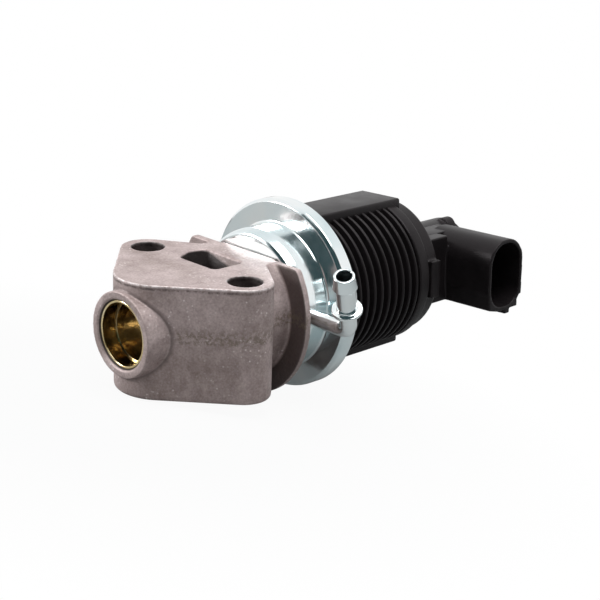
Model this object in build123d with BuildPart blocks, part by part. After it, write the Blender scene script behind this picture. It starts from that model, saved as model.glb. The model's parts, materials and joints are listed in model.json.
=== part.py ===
"""Solenoid exhaust gas recirculation valve, in millimetres.

The frame's origin is the centre of the outlet bush's mouth. +X runs along the valve's axis
towards the rear cap, +Z is square to the mounting face, and the plug socket points along -Y.
"""
import os
from math import cos, radians, sin, sqrt

from build123d import *

# ---------------------------------------------------------------- fits
fit_gap = 0.03            # radial gap of pieces that are pressed or seated together
run_gap = 0.05            # radial gap of pieces that slide on each other
air_gap = 0.3             # gap between pieces of different bodies that never touch

# ---------------------------------------------------------------- gas casting
boss_r = 10.8             # round outlet boss
boss_lip = 0.65           # the boss stands this far in front of the bush's mouth
boss_root = 14.0          # how far back the boss runs into the block
nose_x = 0.5              # front of the block's rounded nose
nose_r = 12.0
block_top = 13.7          # height of the mounting face over the valve's axis
block_drop = 15.7         # depth of the block's underside below the axis
bolt_x = 22.7             # the bolt line, behind the bush's mouth
bolt_pitch = 37.3
bolt_hole_r = 4.25
lobe_r = 7.0              # round ears about the bolt holes
tail_half = 8.4           # half width of the block where it runs into the plate
neck_r = 18.3             # barrel between the block and the plate
neck_x = 27.0
plate_x = 38.3            # front face of the round plate
plate_t = 2.0
plate_r = 24.0
plate_corner_r = 1.5      # rounding where the plate's top flat meets its rim
hub_t = 0.7               # raised facing behind the plate, for the pan
edge_r = 0.8              # cast edge rounding
port_x = 23.1             # front edge of the rectangular port in the mounting face
port_length = 9.7
port_width = 13.8
port_corner_r = 1.4
port_ramp = 3.2           # how far the port's rear wall slopes forward at its foot
chamber_r = 8.0
chamber_wall = 5.8        # metal between the gas chamber and the plate's rear face

# ---------------------------------------------------------------- outlet bush and seat
bush_r = 8.5
bush_bore_r = 7.85
bush_step_x = 4.1         # the bush's bore narrows here
bush_inner_r = 7.45
bush_length = 15.0
seat_length = 4.0
seat_bore_r = 5.2
seat_cone = 1.2           # width of the seat's cone

# ---------------------------------------------------------------- pintle and its guide
lift = 4.0                # travel of the valve
stem_r = 2.5
head_r = 6.2
head_rim = 1.2            # height of the head's cylindrical edge
guide_r = 4.6
guide_length = 9.0
stem_seal_t = 1.0         # seal behind the guide
seat_gap = 0.1            # axial gap left between the closed head and its seat

# ---------------------------------------------------------------- adapter pan
gasket_t = 0.3
pan_t = 1.5               # sheet thickness
pan_bore_clear = 0.4      # between the screw heads and the pan's bore
drum_front_r = 18.2       # front of the pan's drum
drum_flare = 0.8          # the drum grows by this much to its rear, where it turns into the dish
drum_length = 9.9
rim_r = 25.3
rim_length = 4.5
rim_round_r = 1.3         # pressed rounding of the rim's front edge
dish_round_r = 1.5        # between drum and dish
drum_round_r = 1.5        # about the drum's front face
screw_r = 2.0
screw_clear = 0.1         # between the screw heads and the drum's wall
screw_count = 3
screw_head_r = 3.3
screw_head_t = 2.4
screw_depth = 5.0         # length of thread in the casting
screw_spare = 1.0         # the tapped holes go this much deeper
screw_socket_r = 1.6      # corner radius of the hexagon in the heads

# ---------------------------------------------------------------- vent pipe and hose nipple
vent_back = 4.4           # the arm's axis lies this far behind the pan's front face
vent_z = -0.3
vent_reach = 31.8         # elbow's distance from the valve's axis
vent_arm_r = 2.2
vent_bend_r = 3.6         # bend of the tube's centre line at the elbow
vent_inside = 1.0         # the arm reaches this far inside the drum's wall
vent_bore_r = 1.4
nipple_lean_x = -0.406    # direction of the nipple
nipple_lean_y = -0.251
nipple_lean_z = 0.880
nipple_length = 19.3      # from the elbow's centre to the tip
nipple_r = 2.5
nipple_bore_r = 1.95
nipple_collar_r = 3.85
nipple_collar_t = 0.9
nipple_collar_at = 7.1
nipple_barb_r = 3.2
nipple_barb_at = 15.6     # the barb's widest ring, from the elbow's centre
nipple_tip_r = 2.55

# ---------------------------------------------------------------- solenoid body
rib_count = 9
rib_pitch = 2.77
rib_depth = 1.6
rib_width = 1.3
shell_wall = 0.8          # wall left under the grooves
first_rib = 6.6           # centre of the first rib, behind the pan's rim
collar_length = 3.7       # smooth collar behind the ribs
shell_foot_t = 2.6        # flange held in the pan's rim
foot_play = 0.4           # gap between that flange and the rim
yoke_lap = 0.4            # the body's bore is this much larger than the drum's inside
pad_width = 14.4          # flat lengthways pads on top and underneath
pad_proud = 0.5           # the pads stand this far over the ribs
pad_end_r = 1.6
oring_r = 0.8             # cord radius of the foot's seal
foot_seal_inset = 2.1     # the seal's ring lies this far inside the foot's edge

# ---------------------------------------------------------------- magnet parts
yoke_t = 1.2
yoke_front_t = 2.6
yoke_rear_t = 2.4
bobbin_wall = 0.9
bobbin_flange_t = 1.2
winding_gap = 1.5         # free height between the winding and the yoke tube
sleeve_t = 0.5
armature_r = 6.9
armature_length = 15.0
pole_length = 12.0
pole_stop_t = 0.5         # non-magnetic stop disc on the pole's face
spring_r = 4.4            # mean radius of the return spring
spring_wire_r = 0.45
spring_turns = 5
spring_pocket = 4.5       # depth of the spring's pockets in pole and armature
clip_t = 1.0              # clip that holds the armature on the stem
clip_r = 4.0
clip_play = 0.6           # room about the clip in the armature
clip_pocket = 2.4
clip_groove = 0.7         # depth of the clip's groove in the stem
stem_short = 0.6          # the stem ends this far inside the armature

# ---------------------------------------------------------------- rear cap and sensor
cap_step = 1.1            # the cap is this much smaller in radius than the ribs
cap_length = 5.0
cap_wall = 1.8
cap_spigot_t = 2.0        # length of the spigot inside the solenoid body
cap_spigot_wall = 2.2
cap_seal_cord_r = 0.5
cap_edge_r = 0.7
housing_r = 9.4           # sensor housing behind the cap
housing_wall = 1.2
housing_end_r = 1.4
housing_past = 2.3        # the sensor housing ends this far behind the plug socket
clocking = -2.5           # angle of the solenoid and its plug about the axis, against the block
housing_end_t = 1.8
nub_r = 2.6               # round boss along the housing's top, at its rear end
nub_y = -2.1
nub_z = 7.7
nub_length = 4.8
lug_back = 0.84           # the rectangular lug on the cap's plug side starts this far into the cap
lug_length = 3.5
lug_height = 10.4
lug_proud = 1.1
lug_depth = 3.0           # how deep the lug is rooted in the cap
rod_r = 2.2               # plunger's rod
guide_disc_t = 1.5
carrier_length = 9.0
carrier_wall = 0.8        # about the sensor spring's pocket
carrier_side = 0.6        # the carrier is this much wider on each side than it is high
carrier_corner_r = 0.5
carrier_pocket = 2.0      # depth of the sensor spring's pocket in the carrier
sensor_spring_r = 2.2
sensor_spring_wire_r = 0.3
sensor_spring_turns = 6
board_t = 0.8
board_margin = 1.0        # board in front of the wipers' foremost place
wiper_width = 1.0
wiper_t = 0.25
wiper_rise = 1.9          # how far the wipers stand off the carrier
wiper_pitch = 2.0
wiper_count = 3
lead_width = 1.0          # flat coil leads
lead_t = 0.5
lead_inset = 4.2          # the leads leave the coil this far inside the winding
lead_rise = 2.2           # their run through the sensor housing, above the foot of its bore
lead_y = (-4.2, -2.4)

# ---------------------------------------------------------------- plug socket
socket_back = 8.84        # gap between the cap's rear face and the socket's front side
socket_width = 14.7
socket_top = 9.8
socket_drop = 10.5
socket_mouth = 30.0       # mouth's distance from the axis
socket_wall = 1.1
socket_floor = 13.0       # the socket's floor, as a distance from the axis
socket_top_r = 6.9
socket_low_r = 6.4
fin_t = 1.0               # straight fins below the socket's front and rear sides
front_fin_drop = 9.6
rear_fin_drop = 7.2
web_length = 4.3          # the front fin's foot slopes back to the skin over this length
web_lean = 0.6
key_back = 7.5            # narrow keying rib under the socket
key_width = 2.1
key_drop = 11.8
low_key_width = 3.4       # shallower block behind it
low_key_drop = 10.4
bridge_top = 9.2          # flat-topped bridge between cap and socket
bridge_reach = 14.2
bridge_start = 3.0        # its flat begins this far from the axis
shoulder_past = 9.7       # the flat runs on over the socket's root by this much
shoulder_reach = 9.0
pin_count = 5
pin_pitch = 3.0
pin_side = 0.8
pin_back = 6.0            # pins end this far inside the mouth
pin_root = 5.7            # and start this far from it
saddle_reach = 6.0        # the socket's root stops this far from the axis

# ---------------------------------------------------------------- places that follow
plate_end = plate_x + plate_t
hub_end = plate_end + hub_t
chamber_end = plate_end - chamber_wall
pan_x = hub_end + gasket_t
stem_seal_x = pan_x - stem_seal_t
drum_r = drum_front_r + drum_flare
screw_ring_r = drum_front_r - pan_t - screw_head_r - screw_clear
pan_bore_r = screw_ring_r - screw_head_r - pan_bore_clear
gasket_r = drum_front_r - drum_round_r
vent_x = pan_x + vent_back
shell_foot_r = rim_r - pan_t - foot_play
foot_seal_ring_r = shell_foot_r - foot_seal_inset
shell_bore_r = drum_r - pan_t + yoke_lap
groove_r = shell_bore_r + shell_wall
rib_r = groove_r + rib_depth
pad_height = rib_r + pad_proud
cap_r = rib_r - cap_step
dish_x = pan_x + drum_length
rim_x = dish_x + rim_length
seat_x = bush_length
seat_end = seat_x + seat_length
foot_x = dish_x + pan_t
yoke_x = foot_x
collar_x = rim_x + first_rib + (rib_count - 1) * rib_pitch + rib_width
cap_x = collar_x + collar_length
yoke_end = cap_x - cap_spigot_t
pole_x = yoke_x
pole_end = pole_x + pole_length
armature_x = pole_end + pole_stop_t + lift + air_gap
armature_end = armature_x + armature_length
yoke_r = shell_bore_r - fit_gap
winding_r = yoke_r - yoke_t - winding_gap
sleeve_r = armature_r + run_gap + sleeve_t
bobbin_r = sleeve_r + fit_gap
coil_x = yoke_x + yoke_front_t
coil_end = yoke_end - yoke_rear_t
cap_end = cap_x + cap_length
stem_end = armature_end - stem_short
rod_x = stem_end + air_gap
lug_x = cap_x + lug_back
guide_disc_x = cap_x + air_gap
carrier_x = guide_disc_x + guide_disc_t + lift + air_gap
carrier_end = carrier_x + carrier_length
carrier_pocket_r = sensor_spring_r + sensor_spring_wire_r + air_gap / 2
carrier_height = 2 * (carrier_pocket_r + carrier_wall)
carrier_width = carrier_height + 2 * carrier_side
housing_bore_r = housing_r - housing_wall
lead_out = winding_r - lead_inset
lead_low = housing_bore_r - lead_rise
socket_x = cap_end + socket_back
socket_end = socket_x + socket_width
key_x = socket_x + key_back
rear_end = socket_end + housing_past
pin_x = socket_x + socket_width / 2
pin_tip = socket_mouth - pin_back
pocket_r = spring_r + spring_wire_r + air_gap
clip_pocket_r = clip_r + clip_play
nipple_dir = Vector(nipple_lean_x, nipple_lean_y, nipple_lean_z).normalized()
elbow_at = Vector(vent_x, -vent_reach, vent_z)


def turned(outline):
    """Solid turned about the valve's axis from (x, radius) points."""
    with BuildPart() as piece:
        with BuildSketch(Plane.XZ):
            with BuildLine():
                Polyline(*outline, close=True)
            make_face()
        revolve(axis=Axis.X)
    return piece


def ring(start, length, outer, inner=0.0):
    """Plain ring or disc about the valve's axis."""
    end = start + length
    return turned([(start, inner), (start, outer), (end, outer), (end, inner)])


def o_ring(at, radius, cord_r):
    """Round-section seal about the valve's axis, centred at `at`."""
    with BuildPart() as piece:
        with BuildSketch(Plane.XZ):
            with Locations((at, radius)):
                Circle(cord_r)
        revolve(axis=Axis.X)
    return piece


def coil_spring(start, end, mean_r, wire_r, turns):
    """Round-wire compression spring along the valve's axis, between two seats."""
    length = end - start - 2 * wire_r
    with BuildPart() as piece:
        with BuildLine() as wire:
            Helix(length / turns, length, mean_r, center=(start + wire_r, 0, 0), direction=(1, 0, 0))
        with BuildSketch(Plane(origin=wire.line @ 0, z_dir=wire.line % 0)):
            Circle(wire_r)
        sweep(is_frenet=True)
    return piece


def save(builder, name, turn=0.0):
    """Turn a finished piece about the valve's axis, label it and write its file."""
    piece = builder.part.rotate(Axis.X, turn)
    piece.label = name
    export_step(piece, f"parts/{name}.step")


def ring_places(count, radius, start_angle):
    """Evenly spaced (y, z) places on a circle about the valve's axis."""
    angles = [radians(start_angle + i * 360 / count) for i in range(count)]
    return [(radius * cos(a), radius * sin(a)) for a in angles]


screw_places = ring_places(screw_count, screw_ring_r, 30)
os.makedirs("parts", exist_ok=True)

# ================================================================ gas casting
with BuildPart() as valve_body:
    # kite-shaped block: hull of the nose, the two bolt ears and the tail
    with BuildSketch(Plane.XY.offset(-block_drop)):
        with BuildLine():
            CenterArc((nose_x + nose_r, 0), nose_r, 0, 360)
            CenterArc((bolt_x, bolt_pitch / 2), lobe_r, 0, 360)
            CenterArc((bolt_x, -bolt_pitch / 2), lobe_r, 0, 360)
            Line((plate_x, -tail_half), (plate_x, tail_half))
        make_hull()
    extrude(amount=block_top + block_drop)
    low_edges = valve_body.edges().group_by(Axis.Z)[0]
    fillet(low_edges, radius=edge_r)
    # barrel and round plate, both cut level with the mounting face
    with BuildSketch(Plane.YZ.offset(neck_x)):
        Circle(neck_r)
        with Locations((0, block_top + neck_r)):
            Rectangle(2 * neck_r, 2 * neck_r, mode=Mode.SUBTRACT)
    extrude(amount=plate_x - neck_x)
    with BuildSketch(Plane.YZ.offset(plate_x)) as plate_face:
        Circle(plate_r)
        with Locations((0, block_top + plate_r)):
            Rectangle(2 * plate_r, 2 * plate_r, mode=Mode.SUBTRACT)
        fillet(plate_face.vertices().filter_by_position(Axis.Y, block_top - 0.1, block_top + 0.1),
               radius=plate_corner_r)
    extrude(amount=plate_t)
    # facing for the pan
    with BuildSketch(Plane.YZ.offset(plate_end)):
        Circle(gasket_r)
        with Locations((0, block_top + gasket_r)):
            Rectangle(2 * gasket_r, 2 * gasket_r, mode=Mode.SUBTRACT)
    extrude(amount=hub_t)
    # outlet boss
    with BuildSketch(Plane.YZ.offset(-boss_lip)):
        Circle(boss_r)
    extrude(amount=boss_lip + boss_root)
    # bolt holes
    with BuildSketch(Plane.XY.offset(-block_drop)):
        with Locations((bolt_x, bolt_pitch / 2), (bolt_x, -bolt_pitch / 2)):
            Circle(bolt_hole_r)
    extrude(amount=block_top + block_drop, mode=Mode.SUBTRACT)
    # turned inside: chamfered mouth, bush and seat bore, chamber, guide bore
    with BuildSketch(Plane.XZ):
        with BuildLine():
            Polyline(
                (-boss_lip, 0),
                (-boss_lip, bush_r + boss_lip),
                (0, bush_r),
                (seat_end, bush_r),
                (seat_end, chamber_r),
                (chamber_end, chamber_r),
                (chamber_end, guide_r),
                (hub_end, guide_r),
                (hub_end, 0),
                close=True,
            )
        make_face()
    revolve(axis=Axis.X, mode=Mode.SUBTRACT)
    # rectangular port, its rear wall sloping forward to the chamber
    with BuildSketch(Plane.XY.offset(block_top)):
        with Locations((port_x + port_length / 2, 0)):
            RectangleRounded(port_length, port_width, port_corner_r)
    with BuildSketch(Plane.XY):
        with Locations((port_x + (port_length - port_ramp) / 2, 0)):
            RectangleRounded(port_length - port_ramp, port_width, port_corner_r)
    loft(mode=Mode.SUBTRACT)
    # tapped holes for the adapter screws
    with BuildSketch(Plane.YZ.offset(hub_end)):
        with Locations(*screw_places):
            Circle(screw_r + fit_gap)
    extrude(amount=-screw_depth - screw_spare, mode=Mode.SUBTRACT)
save(valve_body, "valve_body")

# ================================================================ bush, seat, guide, seal
bush_outer = bush_r - fit_gap
save(turned([
    (0, bush_bore_r),
    (0, bush_outer),
    (bush_length, bush_outer),
    (bush_length, bush_inner_r),
    (bush_step_x, bush_inner_r),
    (bush_step_x, bush_bore_r),
]), "outlet_bush")

save(turned([
    (seat_x, seat_bore_r + seat_cone),
    (seat_x, bush_outer),
    (seat_end, bush_outer),
    (seat_end, seat_bore_r),
    (seat_x + seat_cone, seat_bore_r),
]), "valve_seat")

guide_x = stem_seal_x - guide_length
save(ring(guide_x, guide_length, guide_r - fit_gap, stem_r + run_gap), "stem_guide")

save(ring(stem_seal_x, stem_seal_t, guide_r - fit_gap, stem_r + run_gap), "stem_seal")

save(ring(pan_x, pan_t, pan_bore_r - fit_gap, stem_r + air_gap), "seal_retainer")

# ================================================================ gasket and adapter pan
with BuildPart() as flange_gasket:
    with BuildSketch(Plane.YZ.offset(hub_end)):
        Circle(gasket_r)
        Circle(guide_r, mode=Mode.SUBTRACT)
        with Locations(*screw_places):
            Circle(screw_r + 2 * fit_gap, mode=Mode.SUBTRACT)
        with Locations((0, block_top + gasket_r)):
            Rectangle(2 * gasket_r, 2 * gasket_r, mode=Mode.SUBTRACT)
    extrude(amount=gasket_t)
save(flange_gasket, "flange_gasket")

with BuildPart() as adapter_pan:
    with BuildSketch(Plane.XZ):
        with BuildLine():
            Polyline(
                (pan_x, pan_bore_r),
                (pan_x, drum_front_r),
                (dish_x, drum_r),
                (dish_x, rim_r),
                (rim_x, rim_r),
                (rim_x, rim_r - pan_t),
                (dish_x + pan_t, rim_r - pan_t),
                (dish_x + pan_t, drum_r - pan_t),
                (pan_x + pan_t, drum_front_r - pan_t),
                (pan_x + pan_t, pan_bore_r),
                close=True,
            )
        make_face()
    revolve(axis=Axis.X)
    rims = adapter_pan.edges().filter_by(GeomType.CIRCLE)
    fillet(rims.filter_by(lambda e: abs(e.radius - rim_r) < 0.01 and e.center().X < rim_x - 1),
           radius=rim_round_r)
    rims = adapter_pan.edges().filter_by(GeomType.CIRCLE)
    fillet(rims.filter_by(lambda e: abs(e.radius - drum_r) < 0.01), radius=dish_round_r)
    rims = adapter_pan.edges().filter_by(GeomType.CIRCLE)
    fillet(rims.filter_by(lambda e: abs(e.radius - drum_front_r) < 0.01), radius=drum_round_r)
    # screw holes in the pan's floor
    with BuildSketch(Plane.YZ.offset(pan_x)):
        with Locations(*screw_places):
            Circle(screw_r + 2 * fit_gap)
    extrude(amount=pan_t, mode=Mode.SUBTRACT)
    # hole for the vent arm in the drum's side
    with BuildSketch(Plane.XZ.offset(drum_front_r / 2)):
        with Locations((vent_x, vent_z)):
            Circle(vent_arm_r + fit_gap)
    extrude(amount=drum_r, mode=Mode.SUBTRACT)
save(adapter_pan, "adapter_pan")

with BuildPart() as adapter_screws:
    with BuildSketch(Plane.YZ.offset(hub_end - screw_depth)):
        with Locations(*screw_places):
            Circle(screw_r)
    extrude(amount=screw_depth + gasket_t + pan_t)
    with BuildSketch(Plane.YZ.offset(pan_x + pan_t)):
        with Locations(*screw_places):
            Circle(screw_head_r)
    extrude(amount=screw_head_t)
    with BuildSketch(Plane.YZ.offset(pan_x + pan_t + screw_head_t)):
        with Locations(*screw_places):
            RegularPolygon(screw_socket_r, 6)
    extrude(amount=-screw_head_t / 2, mode=Mode.SUBTRACT)
save(adapter_screws, "adapter_screws")

# ================================================================ vent pipe and nipple
arm_start = drum_front_r - pan_t - vent_inside
arm_reach = vent_reach - arm_start
bend_plane = Plane(origin=elbow_at, x_dir=(0, 1, 0), z_dir=Vector(0, 1, 0).cross(nipple_dir))
bend_cos = nipple_dir.Y
bend_sin = sqrt(1 - bend_cos ** 2)
with BuildPart() as vent_elbow:
    with BuildLine(bend_plane) as tube_line:
        FilletPolyline((arm_reach, 0), (0, 0),
                       (nipple_collar_at * bend_cos, nipple_collar_at * bend_sin),
                       radius=vent_bend_r)
    with BuildSketch(Plane(origin=tube_line.line @ 0, z_dir=tube_line.line % 0)):
        Circle(vent_arm_r)
        Circle(vent_bore_r, mode=Mode.SUBTRACT)
    sweep(path=tube_line.line)
save(vent_elbow, "vent_elbow")

with BuildPart() as hose_nipple:
    nipple_section = Plane(origin=elbow_at, x_dir=nipple_dir,
                           z_dir=nipple_dir.cross(Vector(1, 0, 0)).normalized())
    with BuildSketch(nipple_section):
        with BuildLine():
            Polyline(
                (nipple_collar_at, nipple_bore_r),
                (nipple_collar_at, nipple_collar_r),
                (nipple_collar_at + nipple_collar_t, nipple_collar_r),
                (nipple_collar_at + nipple_collar_t, nipple_r),
                (nipple_barb_at, nipple_r),
                (nipple_barb_at, nipple_barb_r),
                (nipple_length, nipple_tip_r),
                (nipple_length, nipple_bore_r),
                close=True,
            )
        make_face()
    revolve(axis=Axis(elbow_at, nipple_dir))
save(hose_nipple, "hose_nipple")

# ================================================================ solenoid body
with BuildPart() as solenoid_shell:
    comb = [(foot_x, shell_bore_r), (foot_x, shell_foot_r),
            (foot_x + shell_foot_t, shell_foot_r), (foot_x + shell_foot_t, groove_r)]
    for i in range(rib_count):
        rib_at = rim_x + first_rib + i * rib_pitch
        comb += [(rib_at - rib_width / 2, groove_r), (rib_at - rib_width / 2, rib_r),
                 (rib_at + rib_width / 2, rib_r), (rib_at + rib_width / 2, groove_r)]
    comb += [(collar_x, groove_r), (collar_x, rib_r), (cap_x, rib_r), (cap_x, shell_bore_r)]
    with BuildSketch(Plane.XZ):
        with BuildLine():
            Polyline(*comb, close=True)
        make_face()
    revolve(axis=Axis.X)
    with BuildSketch(Plane.YZ.offset(foot_x)):
        Rectangle(pad_width, 2 * pad_height)
        Circle(shell_bore_r, mode=Mode.SUBTRACT)
    extrude(amount=cap_x - foot_x)
    # groove for the foot's seal
    with BuildSketch(Plane.YZ.offset(foot_x)):
        Circle(foot_seal_ring_r + oring_r + fit_gap)
        Circle(foot_seal_ring_r - oring_r - fit_gap, mode=Mode.SUBTRACT)
    extrude(amount=2 * oring_r, mode=Mode.SUBTRACT)
    pad_ends = solenoid_shell.edges().filter_by(Axis.Y).filter_by(
        lambda e: abs(e.center().X - cap_x) < 0.01 and abs(abs(e.center().Z) - pad_height) < 0.01)
    fillet(pad_ends, radius=pad_end_r)
save(solenoid_shell, "solenoid_shell", clocking)

save(o_ring(foot_x + oring_r, foot_seal_ring_r, oring_r), "foot_seal")

# ================================================================ magnet circuit and coil
# steel yoke: front washer, tube and rear washer
save(ring(yoke_x, yoke_front_t, yoke_r, sleeve_r), "yoke_front")
save(ring(coil_x, coil_end - coil_x, yoke_r, yoke_r - yoke_t), "yoke_tube")
with BuildPart() as yoke_rear:
    with BuildSketch(Plane.YZ.offset(coil_end)):
        Circle(yoke_r)
        Circle(sleeve_r + fit_gap, mode=Mode.SUBTRACT)
        with Locations(*[(y, -lead_out) for y in lead_y]):
            Circle(lead_width / 2 + air_gap, mode=Mode.SUBTRACT)
    extrude(amount=yoke_rear_t)
save(yoke_rear, "yoke_rear", clocking)

# thin non-magnetic sleeve that lines up the pole and the armature
save(ring(yoke_x, yoke_end - yoke_x, sleeve_r - fit_gap, sleeve_r - sleeve_t), "guide_sleeve")

pole_r = sleeve_r - sleeve_t - fit_gap
save(turned([
    (pole_x, stem_r + air_gap),
    (pole_x, pole_r),
    (pole_end, pole_r),
    (pole_end, pocket_r),
    (pole_end - spring_pocket, pocket_r),
    (pole_end - spring_pocket, stem_r + air_gap),
]), "pole_piece")

save(ring(pole_end, pole_stop_t, pole_r, pocket_r), "pole_stop")

with BuildPart() as coil_bobbin:
    bobbin_end = coil_end - coil_x
    flange_r = yoke_r - yoke_t - fit_gap
    with BuildSketch(Plane.YZ.offset(coil_x)):
        Circle(bobbin_r + bobbin_wall)
    extrude(amount=bobbin_end)
    for flange_x in (coil_x, coil_end - bobbin_flange_t):
        with BuildSketch(Plane.YZ.offset(flange_x)):
            Circle(flange_r)
        extrude(amount=bobbin_flange_t)
    with BuildSketch(Plane.YZ.offset(coil_x)):
        Circle(bobbin_r)
    extrude(amount=bobbin_end, mode=Mode.SUBTRACT)
save(coil_bobbin, "coil_bobbin")

winding_x = coil_x + bobbin_flange_t
save(ring(winding_x, coil_end - bobbin_flange_t - winding_x, winding_r,
          bobbin_r + bobbin_wall + fit_gap), "coil_winding")

# ================================================================ moving valve
head_x = seat_x + seat_bore_r + seat_cone - head_r - seat_gap
clip_x = armature_end - clip_pocket
clip_groove_r = stem_r - clip_groove
with BuildPart() as valve_pintle:
    with BuildSketch(Plane.XZ):
        with BuildLine():
            Polyline(
                (head_x - head_rim, 0),
                (head_x - head_rim, head_r - head_rim / 3),
                (head_x - 2 * head_rim / 3, head_r),
                (head_x, head_r),
                (head_x + head_r - 2 * stem_r + head_rim, 2 * stem_r - head_rim),
                (head_x + head_r, stem_r),
                (clip_x, stem_r),
                (clip_x, clip_groove_r),
                (clip_x + clip_t, clip_groove_r),
                (clip_x + clip_t, stem_r),
                (stem_end, stem_r),
                (stem_end, 0),
                close=True,
            )
        make_face()
    revolve(axis=Axis.X)
save(valve_pintle, "valve_pintle")

spring_floor = armature_x + spring_pocket
save(turned([
    (armature_x, pocket_r),
    (armature_x, armature_r),
    (armature_end, armature_r),
    (armature_end, clip_pocket_r),
    (clip_x, clip_pocket_r),
    (clip_x, stem_r + fit_gap),
    (spring_floor, stem_r + fit_gap),
    (spring_floor, pocket_r),
]), "armature")

with BuildPart() as stem_clip:
    with BuildSketch(Plane.YZ.offset(clip_x)):
        Circle(clip_r)
        Circle(clip_groove_r + fit_gap, mode=Mode.SUBTRACT)
        with Locations((0, clip_r / 2)):
            Rectangle(2 * clip_groove_r - clip_groove, clip_r, mode=Mode.SUBTRACT)
    extrude(amount=clip_t - fit_gap)
save(stem_clip, "stem_clip")

save(coil_spring(pole_end - spring_pocket, spring_floor - seat_gap, spring_r, spring_wire_r,
                 spring_turns), "return_spring")

# ================================================================ rear cap with sensor housing
spigot_r = shell_bore_r - fit_gap
cap_floor_x = cap_end - cap_wall
cap_bore_r = spigot_r - cap_spigot_wall
seal_x = yoke_end + cap_spigot_t / 2
pin_places = [(pin_x, (i - (pin_count - 1) / 2) * pin_pitch) for i in range(pin_count)]
with BuildPart() as rear_cap:
    with BuildSketch(Plane.XZ):
        with BuildLine():
            Polyline(
                (yoke_end, cap_bore_r),
                (yoke_end, spigot_r),
                (seal_x - cap_seal_cord_r, spigot_r),
                (seal_x - cap_seal_cord_r, spigot_r - 2 * cap_seal_cord_r),
                (seal_x + cap_seal_cord_r, spigot_r - 2 * cap_seal_cord_r),
                (seal_x + cap_seal_cord_r, spigot_r),
                (cap_x, spigot_r),
                (cap_x, cap_r),
                (cap_end, cap_r),
                (cap_end, housing_r),
                (rear_end, housing_r),
                (rear_end, 0),
                (rear_end - housing_end_t, 0),
                (rear_end - housing_end_t, housing_bore_r),
                (cap_floor_x, housing_bore_r),
                (cap_floor_x, cap_bore_r),
                close=True,
            )
        make_face()
    revolve(axis=Axis.X)
    rims = rear_cap.edges().filter_by(GeomType.CIRCLE)
    fillet(rims.filter_by(lambda e: abs(e.radius - housing_r) < 0.01).sort_by(Axis.X)[-1],
           radius=housing_end_r)
    fillet(rims.filter_by(lambda e: abs(e.radius - cap_r) < 0.01).sort_by(Axis.X)[-1],
           radius=cap_edge_r)
    # boss along the housing's top
    with BuildSketch(Plane.YZ.offset(rear_end - nub_length)):
        with Locations((nub_y, nub_z)):
            Circle(nub_r)
        Circle(housing_bore_r, mode=Mode.SUBTRACT)
    extrude(amount=nub_length - housing_end_r)
    # square lug on the plug's side
    with BuildSketch(Plane.XZ.offset(cap_r - lug_depth)):
        with Locations((lug_x + lug_length / 2, 0)):
            Rectangle(lug_length, lug_height)
    extrude(amount=lug_depth + lug_proud)
    # holes for the pins
    with BuildSketch(Plane.XZ.offset(pin_root)):
        with Locations(*pin_places):
            Rectangle(pin_side + 2 * fit_gap, pin_side + 2 * fit_gap)
    extrude(amount=housing_r, mode=Mode.SUBTRACT)
save(rear_cap, "rear_cap", clocking)

save(o_ring(seal_x, spigot_r - cap_seal_cord_r, cap_seal_cord_r - fit_gap), "cap_seal")

with BuildPart() as plunger_guide:
    with BuildSketch(Plane.YZ.offset(guide_disc_x)):
        Circle(cap_bore_r - fit_gap)
        Circle(rod_r + run_gap, mode=Mode.SUBTRACT)
        with Locations(*[(y, -lead_out) for y in lead_y]):
            Circle(lead_width / 2 + air_gap, mode=Mode.SUBTRACT)
    extrude(amount=guide_disc_t)
save(plunger_guide, "plunger_guide", clocking)

# ================================================================ sensor plunger and its board
with BuildPart() as sensor_plunger:
    with BuildSketch(Plane.YZ.offset(rod_x)):
        Circle(rod_r)
    extrude(amount=carrier_x - rod_x)
    with BuildSketch(Plane.YZ.offset(carrier_x)):
        RectangleRounded(carrier_width, carrier_height, carrier_corner_r)
    extrude(amount=carrier_length)
    with BuildSketch(Plane.YZ.offset(carrier_end)):
        Circle(carrier_pocket_r)
    extrude(amount=-carrier_pocket, mode=Mode.SUBTRACT)
save(sensor_plunger, "sensor_plunger", clocking)

foot_z = carrier_height / 2
wiper_tip_z = foot_z + wiper_rise
wiper_places = [(i - (wiper_count - 1) / 2) * wiper_pitch for i in range(wiper_count)]
with BuildPart() as sensor_wipers:
    for wiper_y in wiper_places:
        with BuildSketch(Plane.XZ.offset(-wiper_y - wiper_width / 2)):
            with BuildLine():
                Polyline(
                    (carrier_x + wiper_width, foot_z),
                    (carrier_x + 2 * wiper_width, foot_z),
                    (carrier_x + 6 * wiper_width, wiper_tip_z - wiper_t),
                    (carrier_x + 7 * wiper_width, wiper_tip_z - wiper_t),
                    (carrier_x + 7 * wiper_width, wiper_tip_z),
                    (carrier_x + 6 * wiper_width, wiper_tip_z),
                    (carrier_x + 2 * wiper_width, foot_z + wiper_t),
                    (carrier_x + wiper_width, foot_z + wiper_t),
                    close=True,
                )
            make_face()
        extrude(amount=wiper_width)
save(sensor_wipers, "sensor_wipers", clocking)

# the board's long edges rest on the housing's bore
board_x = carrier_x + 6 * wiper_width - lift - board_margin
board_end = rear_end - housing_end_t
board_low = wiper_tip_z + air_gap
board_half = sqrt((housing_bore_r - fit_gap) ** 2 - (board_low + board_t) ** 2)
with BuildPart() as sensor_board:
    with BuildSketch(Plane.XY.offset(board_low)):
        with Locations(((board_x + board_end) / 2, 0)):
            Rectangle(board_end - board_x, 2 * board_half)
    extrude(amount=board_t)
save(sensor_board, "sensor_board", clocking)

save(coil_spring(carrier_end - carrier_pocket + seat_gap, rear_end - housing_end_t, sensor_spring_r,
                 sensor_spring_wire_r, sensor_spring_turns), "sensor_spring")

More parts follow.
